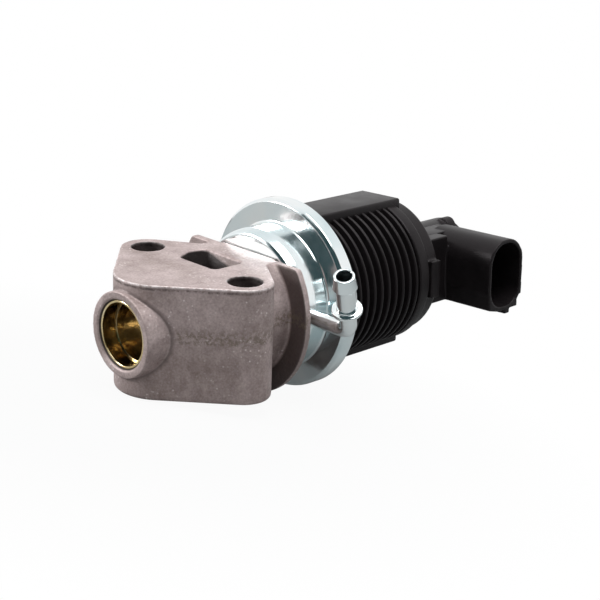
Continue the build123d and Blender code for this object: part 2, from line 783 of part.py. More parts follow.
# ================================================================ plug socket, pins and leads
with BuildPart() as plug_socket:
    socket_mid_z = (socket_top - socket_drop) / 2
    socket_height = socket_top + socket_drop
    # outer skin, arched on top and rounded below, with fins and keys under it
    key_end = key_x + key_width
    low_key_end = key_end + low_key_width
    skin_turn = socket_low_r - socket_drop
    front_fin = [
        (socket_x, skin_turn),
        (socket_x + web_lean, -front_fin_drop),
        (socket_x + web_length, -socket_drop),
        (socket_x + web_length, fin_t - socket_drop),
        (socket_x + web_lean + fin_t, fin_t - front_fin_drop),
        (socket_x + fin_t, skin_turn),
    ]
    # keys and rear fin: (front x, rear x, lowest z)
    under = [
        (key_x, key_end, -key_drop),
        (key_end, low_key_end, -low_key_drop),
        (socket_end - socket_wall, socket_end, -rear_fin_drop),
    ]
    with BuildSketch(Plane.XZ.offset(saddle_reach)) as skin:
        with Locations((pin_x, socket_mid_z)):
            Rectangle(socket_width, socket_height)
        fillet(skin.vertices().group_by(Axis.Y)[-1], radius=socket_top_r)
        fillet(skin.vertices().group_by(Axis.Y)[0], radius=socket_low_r)
        for front, rear, low in under:
            with Locations(((front + rear) / 2, (low + skin_turn) / 2)):
                Rectangle(rear - front, skin_turn - low)
        with BuildLine():
            Polyline(*front_fin, close=True)
        make_face()
    extrude(amount=socket_mouth - saddle_reach)
    # bridge from the cap to the socket, and its shoulder over the socket's root: (rear x, reach)
    for bridge_end, reach in ((socket_x + socket_wall / 2, bridge_reach),
                              (socket_x + shoulder_past, shoulder_reach)):
        with BuildSketch(Plane.YZ.offset(cap_end)):
            with Locations((-(reach + bridge_start) / 2, (bridge_top - front_fin_drop) / 2)):
                Rectangle(reach - bridge_start, bridge_top + front_fin_drop)
        extrude(amount=bridge_end - cap_end)
    # the root wraps the sensor housing
    with BuildSketch(Plane.YZ.offset(cap_end)):
        Circle(housing_r + fit_gap)
    extrude(amount=rear_end - cap_end, mode=Mode.SUBTRACT)
    # cavity
    with BuildSketch(Plane.XZ.offset(socket_floor)) as cavity:
        with Locations((pin_x, socket_mid_z)):
            Rectangle(socket_width - 2 * socket_wall, socket_height - 2 * socket_wall)
        fillet(cavity.vertices().group_by(Axis.Y)[-1], radius=socket_top_r - socket_wall)
        fillet(cavity.vertices().group_by(Axis.Y)[0], radius=socket_low_r - socket_wall)
    extrude(amount=socket_mouth - socket_floor, mode=Mode.SUBTRACT)
    # holes for the pins
    with BuildSketch(Plane.XZ.offset(pin_root)):
        with Locations(*pin_places):
            Rectangle(pin_side + 2 * fit_gap, pin_side + 2 * fit_gap)
    extrude(amount=socket_floor, mode=Mode.SUBTRACT)
save(plug_socket, "plug_socket", clocking)

with BuildPart() as socket_pins:
    with BuildSketch(Plane.XZ.offset(pin_root)):
        with Locations(*pin_places):
            Rectangle(pin_side, pin_side)
    extrude(amount=pin_tip - pin_root)
    chamfer(socket_pins.edges().group_by(Axis.Y)[0], length=pin_side / 4)
save(socket_pins, "socket_pins", clocking)

lead_bend_x = guide_disc_x + guide_disc_t + air_gap
with BuildPart() as coil_leads:
    for y in lead_y:
        with BuildSketch(Plane.XZ.offset(-y - lead_width / 2)):
            with BuildLine():
                Polyline(
                    (coil_end, -lead_out - lead_t / 2),
                    (lead_bend_x + lead_t, -lead_out - lead_t / 2),
                    (lead_bend_x + lead_t, -lead_low - lead_t / 2),
                    (pin_x + pin_side / 2, -lead_low - lead_t / 2),
                    (pin_x + pin_side / 2, -lead_low + lead_t / 2),
                    (lead_bend_x, -lead_low + lead_t / 2),
                    (lead_bend_x, -lead_out + lead_t / 2),
                    (coil_end, -lead_out + lead_t / 2),
                    close=True,
                )
            make_face()
        extrude(amount=lead_width)
save(coil_leads, "coil_leads", clocking)
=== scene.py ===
import json
from math import acos, ceil, cos, pi, radians, sin, tan

import bmesh
import bpy
import numpy as np
from mathutils import Matrix, Vector


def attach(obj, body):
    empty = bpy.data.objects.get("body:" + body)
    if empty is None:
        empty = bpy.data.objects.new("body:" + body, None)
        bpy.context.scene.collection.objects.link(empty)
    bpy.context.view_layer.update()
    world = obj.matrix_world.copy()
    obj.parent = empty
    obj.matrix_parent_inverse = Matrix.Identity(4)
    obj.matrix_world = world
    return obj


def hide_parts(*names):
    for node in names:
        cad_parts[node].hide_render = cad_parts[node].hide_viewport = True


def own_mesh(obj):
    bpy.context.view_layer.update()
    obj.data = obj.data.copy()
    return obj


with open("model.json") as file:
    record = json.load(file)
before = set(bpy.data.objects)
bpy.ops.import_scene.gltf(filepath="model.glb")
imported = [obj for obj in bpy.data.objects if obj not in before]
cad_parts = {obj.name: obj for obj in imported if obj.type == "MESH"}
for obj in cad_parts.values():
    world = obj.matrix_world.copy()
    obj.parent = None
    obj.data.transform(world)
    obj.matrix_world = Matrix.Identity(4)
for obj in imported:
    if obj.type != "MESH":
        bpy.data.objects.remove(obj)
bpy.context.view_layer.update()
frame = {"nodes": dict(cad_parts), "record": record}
nodes = frame["nodes"]

# ---------------------------------------------------------------- places on the CAD part, in mm
MM = 0.001
BLOCK_TOP = 13.7            # the flat mounting face
BOLT_X, BOLT_Y = 22.7, 18.65
BOLT_HOLE_R = 4.25
PORT_X = 28.0               # middle of the cast port's mouth
BOSS_R = 10.8
NECK_R = 18.3
PLATE_X = 38.3              # front face of the round plate
BUSH_R = 8.47
BUSH_BORE_R = 7.85
BUSH_STEP_X = 4.1           # the bush's bore narrows here
BUSH_INNER_R = 7.45
BUSH_LENGTH = 15.0
PAN_X = 41.3                # front face of the pan
PAN_BORE_R = 9.6
DISH_X = 51.2               # front face of the dish
RIM_X = 55.7                # rear end of the rim
RIM_R = 25.29
PAN_T = 1.5                 # the pressed wall
BODY_X = 52.7               # front end of the ribbed body
BODY_END = 89.46
BODY_BORE_R = 17.9
GROOVE_R = 18.4             # foot of the ribs
RIB_R = 20.3
RIB_X, RIB_PITCH, RIB_COUNT = 62.3, 2.77, 9
PAD_FOOT, PAD_TOP = 17.0, 20.8      # the flat pads above and below the ribs, from the axis
NIPPLE_BORE_R, NIPPLE_STEM_R = 1.95, 2.5
CLOCKING = Matrix.Rotation(radians(-2.5), 4, "X")     # turn of the solenoid about the valve's axis


# ---------------------------------------------------------------- material helpers
class Recipe:
    """A material under construction: its node tree, shader and object-space coordinates."""

    def __init__(self, name, metallic=0.0, specular=0.5):
        self.material = bpy.data.materials.new(name)
        self.material.use_nodes = True
        self.tree = self.material.node_tree
        self.shader = self.tree.nodes["Principled BSDF"]
        self.shader.inputs["Metallic"].default_value = metallic
        self.shader.inputs["Specular IOR Level"].default_value = specular
        self.place = self.add("ShaderNodeTexCoord").outputs["Object"]
        self.normal = None

    def add(self, kind, **inputs):
        node = self.tree.nodes.new(kind)
        for key, value in inputs.items():
            self.feed(node.inputs[key], value)
        return node

    def feed(self, socket, value):
        if isinstance(value, bpy.types.NodeSocket):
            self.tree.links.new(value, socket)
        else:
            socket.default_value = value

    def noise(self, size, detail=4.0, rough=0.55, stretch=None, distortion=0.0):
        """Noise in 0..1 whose blobs are about `size` mm across."""
        where = self.place
        if stretch:
            mapping = self.add("ShaderNodeMapping", Vector=self.place)
            mapping.inputs["Scale"].default_value = stretch
            where = mapping.outputs["Vector"]
        node = self.add("ShaderNodeTexNoise", Vector=where, Scale=1.0 / (size * MM), Detail=detail,
                        Roughness=rough, Distortion=distortion)
        return node.outputs["Fac"]

    def cells(self, size):
        """Distance from the nearest of scattered points, in cells of about `size` mm."""
        return self.add("ShaderNodeTexVoronoi", Vector=self.place, Scale=1.0 / (size * MM)).outputs["Distance"]

    def ramp(self, fac, *stops):
        """Colour ramp; stops are (position, colour) with linear RGB."""
        node = self.add("ShaderNodeValToRGB", Fac=fac)
        band = node.color_ramp
        while len(band.elements) < len(stops):
            band.elements.new(0.5)
        for element, (at, colour) in zip(band.elements, stops):
            element.position = at
            element.color = (*colour, 1.0)
        return node.outputs["Color"]

    def range(self, fac, low, high, new_low, new_high):
        node = self.add("ShaderNodeMapRange", Value=fac)
        for key, value in (("From Min", low), ("From Max", high), ("To Min", new_low), ("To Max", new_high)):
            node.inputs[key].default_value = value
        return node.outputs["Result"]

    def fade(self, distance, start, end, first, last):
        """Goes from `first` to `last` between two distances in mm."""
        return self.range(distance, start * MM, end * MM, first, last)

    def band(self, distance, rise, full, fall, end, peak=1.0):
        """Rises to `peak` and falls again over four distances in mm."""
        return self.product(self.fade(distance, rise, full, 0.0, peak), self.fade(distance, fall, end, 1.0, 0.0))

    def mix(self, fac, a, b, blend="MIX"):
        node = self.add("ShaderNodeMix")
        node.data_type = "RGBA"
        node.blend_type = blend
        self.feed(node.inputs[0], fac)
        for socket, value in ((node.inputs[6], a), (node.inputs[7], b)):
            self.feed(socket, value if isinstance(value, bpy.types.NodeSocket) else (*value, 1.0))
        return node.outputs[2]

    def reach(self, axes, centre=(0, 0, 0)):
        """Distance from a centre in mm and its mirror images, over the axes marked 1."""
        value = self.place
        steps = (("ABSOLUTE", None), ("SUBTRACT", Vector(centre) * MM), ("MULTIPLY", axes), ("LENGTH", None))
        for operation, other in steps:
            node = self.add("ShaderNodeVectorMath")
            node.operation = operation
            self.feed(node.inputs[0], value)
            if other is not None:
                node.inputs[1].default_value = other
            value = node.outputs["Value" if operation == "LENGTH" else "Vector"]
        return value

    def along(self, direction):
        """Signed distance along a direction."""
        node = self.add("ShaderNodeVectorMath")
        node.operation = "DOT_PRODUCT"
        self.feed(node.inputs[0], self.place)
        node.inputs[1].default_value = direction
        return node.outputs["Value"]

    def product(self, first, *others):
        for other in others:
            node = self.add("ShaderNodeMath")
            node.operation = "MULTIPLY"
            self.feed(node.inputs[0], first)
            self.feed(node.inputs[1], other)
            first = node.outputs[0]
        return first

    def bump(self, height, depth, strength):
        """Adds a bump `depth` mm deep; bumps stack."""
        node = self.add("ShaderNodeBump", Height=height, Strength=strength, Distance=depth * MM)
        if self.normal is not None:
            self.tree.links.new(self.normal, node.inputs["Normal"])
        self.normal = node.outputs["Normal"]

    def done(self, colour, roughness):
        self.feed(self.shader.inputs["Base Color"], colour)
        self.feed(self.shader.inputs["Roughness"], roughness)
        if self.normal is not None:
            self.tree.links.new(self.normal, self.shader.inputs["Normal"])
        return self.material


# ---------------------------------------------------------------- finishes
def cast_iron():
    """Shot-blasted casting: pinkish grey and cloudy, with peened specks and a parting line at z = 0."""
    m = Recipe("shot-blasted casting", metallic=0.3)
    cloud = m.noise(13, 4.0, 0.6)
    blotch = m.noise(4, 5.0, 0.65, distortion=0.8)
    grain = m.noise(0.55, 3.0, 0.6)
    tint = m.ramp(blotch, (0.3, (0.4, 0.322, 0.314)), (0.5, (0.475, 0.388, 0.38)), (0.72, (0.555, 0.464, 0.452)))
    shade = m.ramp(cloud, (0.3, (0.66, 0.63, 0.6)), (0.5, (0.92, 0.91, 0.9)), (0.62, (1.08, 1.08, 1.08)))
    speck = m.ramp(grain, (0.32, (0.84, 0.82, 0.81)), (0.5, (0.98, 0.98, 0.98)), (0.7, (1.14, 1.13, 1.13)))
    colour = m.mix(1.0, m.mix(1.0, tint, shade, "MULTIPLY"), speck, "MULTIPLY")

    # bright peened specks, gathered in patches
    patch = m.range(m.noise(9, 3.0, 0.6), 0.46, 0.6, 0.0, 1.0)
    peen = m.range(m.cells(1.2), 0.12, 0.24, 0.65, 0.0)
    colour = m.mix(m.product(patch, peen), colour, (0.88, 0.82, 0.81))

    height = m.along((0, 0, 1))
    radius = m.reach((0, 1, 1))
    back = m.reach((1, 0, 0))

    # the mounting face's edge: a painted highlight along it, and a broken line of painted shade below it
    broken = m.range(m.noise(1.2, 3.0, 0.6), 0.38, 0.58, 0.0, 1.0)
    edge = m.product(m.fade(m.reach((1, 1, 0), (PORT_X, 0, 0)), 11.2, 11.8, 0.0, 1.0),
                     m.fade(back, 33.5, 34.5, 1.0, 0.0))
    # painted highlight: the edge is made lighter where light would catch it
    painted_edge_highlight = m.band(height, BLOCK_TOP - 0.6, BLOCK_TOP - 0.4, BLOCK_TOP - 0.1, BLOCK_TOP - 0.02, 0.7)
    colour = m.mix(m.product(painted_edge_highlight, edge, broken), colour, (0.86, 0.8, 0.79))
    # painted shade: a broken dark line under the edge's rounding
    painted_edge_shade = m.band(height, BLOCK_TOP - 1.4, BLOCK_TOP - 1.1, BLOCK_TOP - 0.8, BLOCK_TOP - 0.6)
    painted_edge_shade = m.product(painted_edge_shade, edge, m.range(broken, 0.0, 1.0, 0.85, 0.15))
    colour = m.mix(painted_edge_shade, colour, (0.1, 0.075, 0.07))

    # painted shade: a dark ring in the crease where the boss meets the block, and painted shade on the plate's
    # front
    ring = m.product(m.band(radius, BOSS_R + 0.05, BOSS_R + 0.2, BOSS_R + 0.4, BOSS_R + 1.2, 0.7),
                     m.fade(back, 13, 14, 1.0, 0.0))
    colour = m.mix(ring, colour, (0.14, 0.105, 0.1))
    # painted shade on the plate's front, on the side that the block keeps from the light
    painted_plate_shade = m.product(m.band(back, PLATE_X - 0.8, PLATE_X - 0.5, PLATE_X + 0.1, PLATE_X + 0.4),
                      m.fade(radius, NECK_R + 0.2, NECK_R + 0.9, 0.0, 0.9),
                      m.fade(m.along((0, -1, 0)), 0, 4, 0.0, 1.0))
    colour = m.mix(painted_plate_shade, colour, (0.08, 0.06, 0.055))

    # parting line with its olive stain
    off_boss = m.fade(radius, BOSS_R + 0.7, BOSS_R + 1.7, 0.0, 1.0)
    stain = m.product(m.band(height, -1.0, -0.2, 1.8, 4.0), off_boss,
                      m.range(m.noise(1, 5.0, 0.75), 0.46, 0.56, 0.0, 0.7))
    colour = m.mix(stain, colour, (0.19, 0.15, 0.115))
    seam = m.product(m.fade(m.reach((0, 0, 1)), 0.08, 0.3, 1.0, 0.0), off_boss,
                     m.range(m.noise(5, 3.0, 0.6), 0.45, 0.6, 0.0, 1.0))

    # painted shade deep in the bolt holes, in the port and in the gap about the bush
    hole_shade = m.fade(m.reach((1, 1, 0), (BOLT_X, BOLT_Y, 0)), BOLT_HOLE_R + 0.05, BOLT_HOLE_R + 0.35, 0.82, 0.0)
    mouth = m.product(m.fade(radius, 8.7, 8.85, 0.92, 0.0), m.fade(back, 2, 3, 1.0, 0.0))
    port = m.product(m.fade(m.reach((1, 0, 0), (PORT_X, 0, 0)), 6.8, 7.2, 1.0, 0.0),
                     m.fade(m.reach((0, 1, 0)), 10.2, 10.6, 1.0, 0.0),
                     m.fade(m.along((0, -0.2, 1)), 11.5, 12.2, 0.96, 0.3),
                     m.fade(height, BLOCK_TOP - 0.6, BLOCK_TOP - 0.2, 1.0, 0.0))
    # each mask darkens its recess with painted shade
    for painted_shade in (hole_shade, mouth, port):
        colour = m.mix(painted_shade, colour, (0.016, 0.011, 0.01))

    m.bump(m.noise(6, 3.0, 0.5), 0.5, 0.6)
    m.bump(m.noise(2.2, 3.0, 0.6), 0.2, 0.6)
    m.bump(grain, 0.04, 0.8)
    m.bump(seam, 0.1, 0.8)
    return m.done(colour, m.range(grain, 0.3, 0.7, 0.6, 0.42))


def turned_brass():
    m = Recipe("turned brass", metallic=1.0)
    swirl = m.noise(0.9, 3.0, 0.6, (6.0, 1.0, 1.0))
    stain = m.noise(7, 4.0, 0.6)
    m.bump(swirl, 0.003, 0.5)
    tint = m.ramp(stain, (0.3, (0.6, 0.44, 0.2)), (0.52, (0.82, 0.66, 0.38)), (0.8, (0.92, 0.8, 0.55)))
    # painted shade in the bore behind its mouth, and a painted reflection brightening the bore's inner end
    painted_bore_shade = m.product(m.fade(m.reach((1, 0, 0), (6, 0, 0)), 3.5, 5.8, 1.0, 0.0),
                     m.range(m.noise(6, 3.0, 0.6, (0.5, 1.0, 1.0)), 0.4, 0.55, 0.2, 0.7))
    tint = m.mix(painted_bore_shade, tint, (0.07, 0.035, 0.012))
    # painted reflection: the bore grows brighter towards its inner end
    tint = m.mix(m.fade(m.along((1, 0, 0)), 10.5, 12.5, 0.0, 0.8), tint, (0.95, 0.78, 0.45))
    return m.done(tint, m.range(swirl, 0.3, 0.7, 0.12, 0.2))


def zinc_plate():
    m = Recipe("blue zinc plate", metallic=1.0)
    film = m.noise(16, 3.0, 0.5)
    scuff = m.noise(2, 5.0, 0.7)
    tint = m.ramp(film, (0.3, (0.66, 0.76, 0.78)), (0.55, (0.82, 0.87, 0.88)), (0.75, (0.9, 0.9, 0.885)))
    m.bump(m.noise(8, 3.0, 0.5), 0.1, 0.4)
    m.bump(scuff, 0.02, 0.5)
    return m.done(tint, m.range(scuff, 0.3, 0.7, 0.09, 0.18))


def black_plastic():
    m = Recipe("moulded black plastic", specular=0.18)
    m.shader.inputs["Specular Tint"].default_value = (1.0, 0.94, 0.97, 1.0)
    flow = m.noise(10, 4.0, 0.6)
    tint = m.ramp(flow, (0.3, (0.009, 0.0076, 0.0082)), (0.7, (0.0145, 0.012, 0.013)))
    m.bump(m.noise(0.5, 2.0, 0.5), 0.03, 0.6)
    m.bump(m.noise(3, 3.0, 0.5), 0.06, 0.4)
    return m.done(tint, m.range(flow, 0.3, 0.7, 0.32, 0.44))


def plain(name, dark, light, rough, metallic, grain_size, grain_depth):
    m = Recipe(name, metallic=metallic)
    grain = m.noise(grain_size, 4.0, 0.6)
    m.bump(grain, grain_depth, 0.5)
    return m.done(m.ramp(grain, (0.3, dark), (0.7, light)), m.range(grain, 0.3, 0.7, rough, rough + 0.15))


def plain_metal(name, dark, light, rough=0.3):
    return plain(name, dark, light, rough, 1.0, 1.5, 0.02)


def plain_plastic(name, dark, light, rough=0.45):
    return plain(name, dark, light, rough, 0.0, 1.2, 0.03)


finish = {
    "cast_iron": cast_iron(),
    "brass": turned_brass(),
    "zinc_plate": zinc_plate(),
    "black_plastic": black_plastic(),
    "hard_steel": plain_metal("ground steel", (0.36, 0.35, 0.34), (0.5, 0.49, 0.48)),
    "bronze": plain_metal("bearing bronze", (0.42, 0.26, 0.12), (0.56, 0.38, 0.2)),
    "graphite": plain_plastic("graphite packing", (0.03, 0.03, 0.03), (0.06, 0.06, 0.06)),
    "gasket_steel": plain_metal("gasket steel", (0.1, 0.095, 0.09), (0.2, 0.19, 0.18), 0.5),
    "screw_steel": plain_metal("screw steel", (0.35, 0.35, 0.35), (0.5, 0.5, 0.5)),
    "seal_rubber": plain_plastic("seal rubber", (0.012, 0.012, 0.012), (0.02, 0.02, 0.02), 0.6),
    "soft_iron": plain_metal("soft iron", (0.3, 0.3, 0.3), (0.42, 0.42, 0.42), 0.4),
    "stainless": plain_metal("drawn stainless", (0.5, 0.5, 0.5), (0.62, 0.62, 0.62)),
    "bobbin_plastic": plain_plastic("bobbin plastic", (0.45, 0.4, 0.3), (0.58, 0.52, 0.4)),
    "copper_wire": plain_metal("enamelled copper", (0.45, 0.18, 0.08), (0.62, 0.28, 0.13)),
    "spring_steel": plain_metal("spring steel", (0.3, 0.3, 0.31), (0.45, 0.45, 0.46)),
    "white_plastic": plain_plastic("white plastic", (0.6, 0.6, 0.56), (0.72, 0.72, 0.68)),
    "board": plain_plastic("lacquered board", (0.03, 0.14, 0.07), (0.06, 0.24, 0.12), 0.25),
    "tinned_pin": plain_metal("tinned pin", (0.5, 0.48, 0.45), (0.66, 0.64, 0.6)),
}
for part in frame["record"]["subparts"]:
    mesh = nodes[part["node"]].data
    mesh.materials.clear()
    mesh.materials.append(finish[part["material_slot"]])


# ---------------------------------------------------------------- mesh helpers
def linked(name, data):
    obj = bpy.data.objects.new(name, data)
    bpy.context.collection.objects.link(obj)
    return obj


def piece_of(name, mesh, slot, *replaced, body="housing", crease=35.0):
    """A finished piece from a mesh: shaded, given its slot's finish, riding, standing for nodes."""
    mesh.name = name
    mesh.materials.clear()
    mesh.materials.append(finish[slot])
    mesh.shade_smooth()
    mesh.set_sharp_from_angle(angle=radians(crease))
    obj = linked(name, mesh)
    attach(obj, body)
    if replaced:
        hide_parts(*replaced)
    return obj


def mesh_of(bm):
    bmesh.ops.recalc_face_normals(bm, faces=bm.faces)
    mesh = bpy.data.meshes.new("mesh")
    bm.to_mesh(mesh)
    bm.free()
    return mesh


def rounded(corners, step=radians(15)):
    """Closed outline in which each (x, y, radius) corner becomes an arc of that radius."""
    points = []
    count = len(corners)
    for i, (x, y, radius) in enumerate(corners):
        here = Vector((x, y))
        back = (Vector(corners[i - 1][:2]) - here).normalized()
        ahead = (Vector(corners[(i + 1) % count][:2]) - here).normalized()
        bend = acos(max(-1.0, min(1.0, back.dot(ahead))))
        if radius <= 0 or bend > pi - 0.01:
            points.append(here)
            continue
        start = here + back * radius / tan(bend / 2)
        end = here + ahead * radius / tan(bend / 2)
        centre = here + (back + ahead).normalized() * radius / sin(bend / 2)
        turn = (start - centre).angle_signed(end - centre)
        pieces = max(2, ceil(abs(turn) / step))
        for k in range(pieces + 1):
            spin = Matrix.Rotation(-turn * k / pieces, 2)
            points.append(centre + spin @ (start - centre))
    return points


def lathe(bm, outline, segments=160, stand=None):
    """Adds the (x, radius) outline in mm, turned about the X axis or about a given stand's X axis."""
    rings = []
    for k in range(segments):
        a = 2 * pi * k / segments
        ring = [Vector((p.x, p.y * cos(a), p.y * sin(a))) * MM for p in outline]
        rings.append([bm.verts.new(stand @ v if stand else v) for v in ring])
    for k in range(segments):
        one, two = rings[k], rings[(k + 1) % segments]
        for i in range(len(outline)):
            j = (i + 1) % len(outline)
            bm.faces.new((one[i], two[i], two[j], one[j]))


def block(bm, low, high, bevel):
    """Adds a box between two corners in mm, its edges rounded, turned with the solenoid."""
    low, high = Vector(low) * MM, Vector(high) * MM
    made = bmesh.ops.create_cube(bm, size=1.0)["verts"]
    for v in made:
        v.co = Vector([low[i] + (v.co[i] + 0.5) * (high[i] - low[i]) for i in range(3)])
    edges = {e for v in made for e in v.link_edges}
    new = bmesh.ops.bevel(bm, geom=list(edges), offset=bevel * MM, segments=3, profile=0.5,
                          affect="EDGES")["verts"]
    for v in set(new) | {v for v in made if v.is_valid}:
        v.co = CLOCKING @ v.co


def ease(mesh, rounds, hold):
    """Draws each vertex towards the middle of its neighbours, less where `hold` says so."""
    count = len(mesh.vertices)
    co = np.empty(count * 3)
    mesh.vertices.foreach_get("co", co)
    co = co.reshape(-1, 3)
    ends = np.empty(len(mesh.edges) * 2, dtype=np.int32)
    mesh.edges.foreach_get("vertices", ends)
    a, b = ends[::2], ends[1::2]
    valence = np.bincount(a, minlength=count) + np.bincount(b, minlength=count)
    give = (np.ones(count) if hold is None else hold(co / MM))[:, None] * 0.5
    for _ in range(rounds):
        total = np.empty_like(co)
        for axis in range(3):
            total[:, axis] = (np.bincount(a, co[b, axis], minlength=count)
                              + np.bincount(b, co[a, axis], minlength=count))
        co += give * (total / valence[:, None] - co)
    mesh.vertices.foreach_set("co", co.ravel())
    mesh.update()


def cast_copy(node, voxel, rounds, hold=None, cutter=None):
    """A node's shape as a casting or moulding has it: cut, voxel remeshed, every edge eased."""
    source = linked("source", nodes[node].data.copy())
    if cutter:
        welded = bmesh.new()
        welded.from_mesh(source.data)
        bmesh.ops.remove_doubles(welded, verts=welded.verts, dist=1e-6)
        welded.to_mesh(source.data)
        welded.free()
        tool = linked("cutter", cutter)
        cut = source.modifiers.new("Cut", "BOOLEAN")
        cut.operation = "DIFFERENCE"
        cut.object = tool
    remesh = source.modifiers.new("Remesh", "REMESH")
    remesh.mode = "VOXEL"
    remesh.voxel_size = voxel * MM
    depsgraph = bpy.context.evaluated_depsgraph_get()
    mesh = bpy.data.meshes.new_from_object(source.evaluated_get(depsgraph))
    bpy.data.objects.remove(source)
    if cutter:
        bpy.data.objects.remove(tool)
    ease(mesh, rounds, hold)
    return mesh


# ---------------------------------------------------------------- gas casting and bush
def casting_give(co):
    """How far the cast skin gives when eased; machined places keep crisper edges. Places in mm."""
    x, y, z = co.T
    radius = np.hypot(y, z)
    give = np.ones(len(co))
    give[np.hypot(x - BOLT_X, abs(y) - BOLT_Y) < 5.2] = 0.25
    give[x > PLATE_X - 1.5] = 0.4
    give[(radius < 12.2) & (x < 13.0)] = 0.2
    give[(radius < 9.3) & (x < 2.0)] = 0.06
    give[(x > 22.3) & (x < 34.2) & (abs(y) < 10.0) & (z > 8.0)] = 0.3
    give[z > BLOCK_TOP - 0.8] = 0.3
    return give


def port_cutter():
    """The port is cast wider towards its far rear corner than it is drawn: a tapering plug to cut it."""
    mouth = rounded([(23.2, -6.8, 1.5), (33.2, -6.8, 1.5), (33.9, 8.4, 2.6), (28.4, 9.6, 2.2), (23.2, 7.4, 2.0)])
    above, below, middle = 16.0, 7.0, 27.0
    bm = bmesh.new()
    top = [bm.verts.new(Vector((p.x, p.y, above)) * MM) for p in mouth]
    foot = [bm.verts.new(Vector((middle + (p.x - middle) * 0.62, p.y * 0.8, below)) * MM) for p in mouth]
    bm.faces.new(top)
    bm.faces.new(foot[::-1])
    for i in range(len(top)):
        j = (i + 1) % len(top)
        bm.faces.new((top[i], foot[i], foot[j], top[j]))
    return mesh_of(bm)


piece_of("casting", cast_copy("valve_body", 0.3, 5, casting_give, port_cutter()), "cast_iron", "valve_body",
         crease=180.0)

bm = bmesh.new()
lathe(bm, rounded([
    (0, BUSH_BORE_R, 0.2), (0, BUSH_R, 0.2), (BUSH_LENGTH, BUSH_R, 0.1), (BUSH_LENGTH, BUSH_INNER_R, 0.1),
    (BUSH_STEP_X, BUSH_INNER_R, 0.12), (BUSH_STEP_X, BUSH_BORE_R, 0.0)]))
piece_of("bush", mesh_of(bm), "brass", "outlet_bush")

# ---------------------------------------------------------------- adapter pan and nipple
bm = bmesh.new()
lathe(bm, rounded([
    (PAN_X, PAN_BORE_R, 0.0), (PAN_X, 18.2, 1.5), (44.2, 18.85, 1.5), (DISH_X, 19.0, 0.8), (DISH_X, 24.5, 0.5),
    (DISH_X + 0.8, RIM_R, 0.5), (RIM_X, RIM_R, 0.35),
    (RIM_X, 23.8, 0.35), (DISH_X + PAN_T, 23.8, 0.6), (DISH_X + PAN_T, 17.5, 2.0), (PAN_X + PAN_T, 16.7, 0.6),
    (PAN_X + PAN_T, PAN_BORE_R, 0.0)], radians(9)), 256)
piece_of("pan", mesh_of(bm), "zinc_plate", "adapter_pan")

elbow = Vector((45.7, -31.8, -0.3)) * MM
nipple_axis = Vector((-0.406, -0.251, 0.880)).normalized()
aside = nipple_axis.cross(Vector((1, 0, 0))).normalized()
nipple_stand = Matrix.Translation(elbow) @ Matrix(
    (nipple_axis, aside, nipple_axis.cross(aside))).transposed().to_4x4()
bm = bmesh.new()
# bored flange, stem and barb, from the elbow outwards
lathe(bm, rounded([
    (7.1, NIPPLE_BORE_R, 0.0), (7.1, 3.85, 0.3), (8.0, 3.85, 0.3), (8.0, NIPPLE_STEM_R, 0.35),
    (15.6, NIPPLE_STEM_R, 0.2), (15.6, 3.2, 0.25), (19.3, 2.55, 0.25), (19.3, NIPPLE_BORE_R, 0.15)],
    radians(12)), 64, nipple_stand)
piece_of("nipple", mesh_of(bm), "zinc_plate", "hose_nipple")

# ---------------------------------------------------------------- solenoid body
comb = [(BODY_X, BODY_BORE_R, 0.0), (BODY_X, 23.4, 0.2), (55.3, 23.4, 0.2), (55.3, 18.7, 0.3)]
for i in range(RIB_COUNT):
    at = RIB_X + i * RIB_PITCH
    comb += [(at - 0.62, GROOVE_R, 0.3), (at - 0.46, RIB_R, 0.36), (at + 0.46, RIB_R, 0.36),
             (at + 0.62, GROOVE_R, 0.3)]
comb += [(85.76, 18.7, 0.35), (85.8, RIB_R, 0.5), (BODY_END, RIB_R, 0.45), (BODY_END, BODY_BORE_R, 0.0)]
bm = bmesh.new()
lathe(bm, rounded(comb, radians(22)), 192)
for low, high in ((-PAD_TOP, -PAD_FOOT), (PAD_FOOT, PAD_TOP)):
    block(bm, (55.4, -7.2, low), (91.3, 7.2, high), 0.7)
piece_of("coil_body", mesh_of(bm), "black_plastic", "solenoid_shell")

# the return spring keeps the node's shape, on a mesh of its own
spring = piece_of("wound_spring", nodes["return_spring"].data.copy(), "spring_steel", "return_spring")
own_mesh(spring)

# ---------------------------------------------------------------- rear cap and plug socket
bm = bmesh.new()
bm.from_mesh(cast_copy("rear_cap", 0.25, 4))
block(bm, (96.0, -10.3, 5.5), (110.5, -3.3, 9.26), 0.4)
piece_of("end_cap", mesh_of(bm), "black_plastic", "rear_cap", crease=50.0)
piece_of("plug", cast_copy("plug_socket", 0.22, 4), "black_plastic", "plug_socket", crease=180.0)


# ---------------------------------------------------------------- stage, in metres
def white_to_the_eye(tree, lit, seen, output):
    """Camera, mirror and glass rays meet `seen`; the light itself comes from `lit`."""
    path = tree.nodes.new("ShaderNodeLightPath")
    total = path.outputs["Is Camera Ray"]
    for kind in ("Is Glossy Ray", "Is Transmission Ray"):
        either = tree.nodes.new("ShaderNodeMath")
        either.operation = "MAXIMUM"
        tree.links.new(total, either.inputs[0])
        tree.links.new(path.outputs[kind], either.inputs[1])
        total = either.outputs[0]
    choice = tree.nodes.new("ShaderNodeMixShader")
    tree.links.new(total, choice.inputs[0])
    tree.links.new(lit, choice.inputs[1])
    tree.links.new(seen, choice.inputs[2])
    tree.links.new(choice.outputs[0], output)


# the valve lies on its block's lower front edge and the pan's rim
rest_front = Vector((0.0012, 0.0, -0.0157))
rest_rear = Vector((0.0545, 0.0, -0.0253))
slope = (rest_rear - rest_front).normalized()
floor_up = slope.cross(Vector((0, 1, 0)))
bpy.ops.mesh.primitive_plane_add(size=6.0, location=rest_front - floor_up * 0.0002)
floor = bpy.context.object
floor.name = "floor"
floor.rotation_euler = floor_up.to_track_quat("Z", "Y").to_euler()

